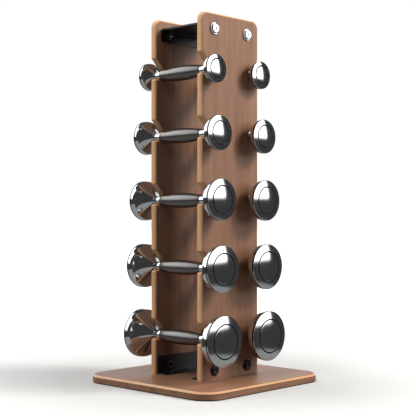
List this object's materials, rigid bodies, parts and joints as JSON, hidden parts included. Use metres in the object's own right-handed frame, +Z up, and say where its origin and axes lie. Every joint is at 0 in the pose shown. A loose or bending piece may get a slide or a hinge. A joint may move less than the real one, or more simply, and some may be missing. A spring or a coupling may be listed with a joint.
{
  "type": "dumbbell rack",
  "caption": "Upright wooden dumbbell tower: two notched boards on a square base hold pairs of polished dumbbells with leather grips, which lift out along the notches",
  "frame": {"origin": "centre of the underside of the square base, on the surface that the rack stands on", "axes": "+Z up; +X to the right along the width of the boards, seen from the front; +Y to the rear, along the dumbbells"},
  "size_m": [0.423, 0.423, 0.9003],
  "materials": {
    "walnut_veneer": "satin walnut veneer with upright grain",
    "light_wood": "satin lacquered light wood edge",
    "rubber": "matt black rubber",
    "black_steel": "semi-gloss black powder coat",
    "chrome": "polished chrome",
    "dark_chrome": "polished black chrome",
    "zinc_steel": "zinc-plated steel",
    "polished_steel": "mirror-polished steel",
    "leather": "smooth dark brown leather, waxed"
  },
  "bodies": {
    "rack": {"base_board": "light_wood", "base_top_veneer": "walnut_veneer", "base_edge_band": "walnut_veneer", "base_rubber_mat": "rubber", "front_board_inner_veneer": "walnut_veneer", "front_board_core": "light_wood", "front_board_outer_veneer": "walnut_veneer", "rear_board_inner_veneer": "walnut_veneer", "rear_board_core": "light_wood", "rear_board_outer_veneer": "walnut_veneer", "top_bracket": "black_steel", "front_foot_bracket": "black_steel", "rear_foot_bracket": "black_steel", "top_cap_bolts": "chrome", "foot_cap_bolts": "dark_chrome", "bolt_nuts": "zinc_steel", "bolt_washers": "zinc_steel", "foot_bracket_screws": "zinc_steel"},
    "dumbbell_left_1": {"left_1_handle_rod": "polished_steel", "left_1_leather_grip": "leather", "left_1_weight_bells": "polished_steel", "left_1_end_caps": "polished_steel"},
    "dumbbell_left_2": {"left_2_handle_rod": "polished_steel", "left_2_leather_grip": "leather", "left_2_weight_bells": "polished_steel", "left_2_end_caps": "polished_steel"},
    "dumbbell_left_3": {"left_3_handle_rod": "polished_steel", "left_3_leather_grip": "leather", "left_3_weight_bells": "polished_steel", "left_3_end_caps": "polished_steel"},
    "dumbbell_left_4": {"left_4_handle_rod": "polished_steel", "left_4_leather_grip": "leather", "left_4_weight_bells": "polished_steel", "left_4_end_caps": "polished_steel"},
    "dumbbell_left_5": {"left_5_handle_rod": "polished_steel", "left_5_leather_grip": "leather", "left_5_weight_bells": "polished_steel", "left_5_end_caps": "polished_steel"},
    "dumbbell_right_1": {"right_1_handle_rod": "polished_steel", "right_1_leather_grip": "leather", "right_1_weight_bells": "polished_steel", "right_1_end_caps": "polished_steel"},
    "dumbbell_right_2": {"right_2_handle_rod": "polished_steel", "right_2_leather_grip": "leather", "right_2_weight_bells": "polished_steel", "right_2_end_caps": "polished_steel"},
    "dumbbell_right_3": {"right_3_handle_rod": "polished_steel", "right_3_leather_grip": "leather", "right_3_weight_bells": "polished_steel", "right_3_end_caps": "polished_steel"},
    "dumbbell_right_4": {"right_4_handle_rod": "polished_steel", "right_4_leather_grip": "leather", "right_4_weight_bells": "polished_steel", "right_4_end_caps": "polished_steel"},
    "dumbbell_right_5": {"right_5_handle_rod": "polished_steel", "right_5_leather_grip": "leather", "right_5_weight_bells": "polished_steel", "right_5_end_caps": "polished_steel"}
  },
  "joints": [
    {"name": "lift_left_1", "type": "slide", "parent": "rack", "child": "dumbbell_left_1", "axis": [-0.7071, 0, 0.7071], "range_m": [0, 0.12]},
    {"name": "lift_left_2", "type": "slide", "parent": "rack", "child": "dumbbell_left_2", "axis": [-0.7071, 0, 0.7071], "range_m": [0, 0.12]},
    {"name": "lift_left_3", "type": "slide", "parent": "rack", "child": "dumbbell_left_3", "axis": [-0.7071, 0, 0.7071], "range_m": [0, 0.12]},
    {"name": "lift_left_4", "type": "slide", "parent": "rack", "child": "dumbbell_left_4", "axis": [-0.7071, 0, 0.7071], "range_m": [0, 0.12]},
    {"name": "lift_left_5", "type": "slide", "parent": "rack", "child": "dumbbell_left_5", "axis": [-0.7071, 0, 0.7071], "range_m": [0, 0.12]},
    {"name": "lift_right_1", "type": "slide", "parent": "rack", "child": "dumbbell_right_1", "axis": [0.7071, 0, 0.7071], "range_m": [0, 0.12]},
    {"name": "lift_right_2", "type": "slide", "parent": "rack", "child": "dumbbell_right_2", "axis": [0.7071, 0, 0.7071], "range_m": [0, 0.12]},
    {"name": "lift_right_3", "type": "slide", "parent": "rack", "child": "dumbbell_right_3", "axis": [0.7071, 0, 0.7071], "range_m": [0, 0.12]},
    {"name": "lift_right_4", "type": "slide", "parent": "rack", "child": "dumbbell_right_4", "axis": [0.7071, 0, 0.7071], "range_m": [0, 0.12]},
    {"name": "lift_right_5", "type": "slide", "parent": "rack", "child": "dumbbell_right_5", "axis": [0.7071, 0, 0.7071], "range_m": [0, 0.12]}
  ]
}
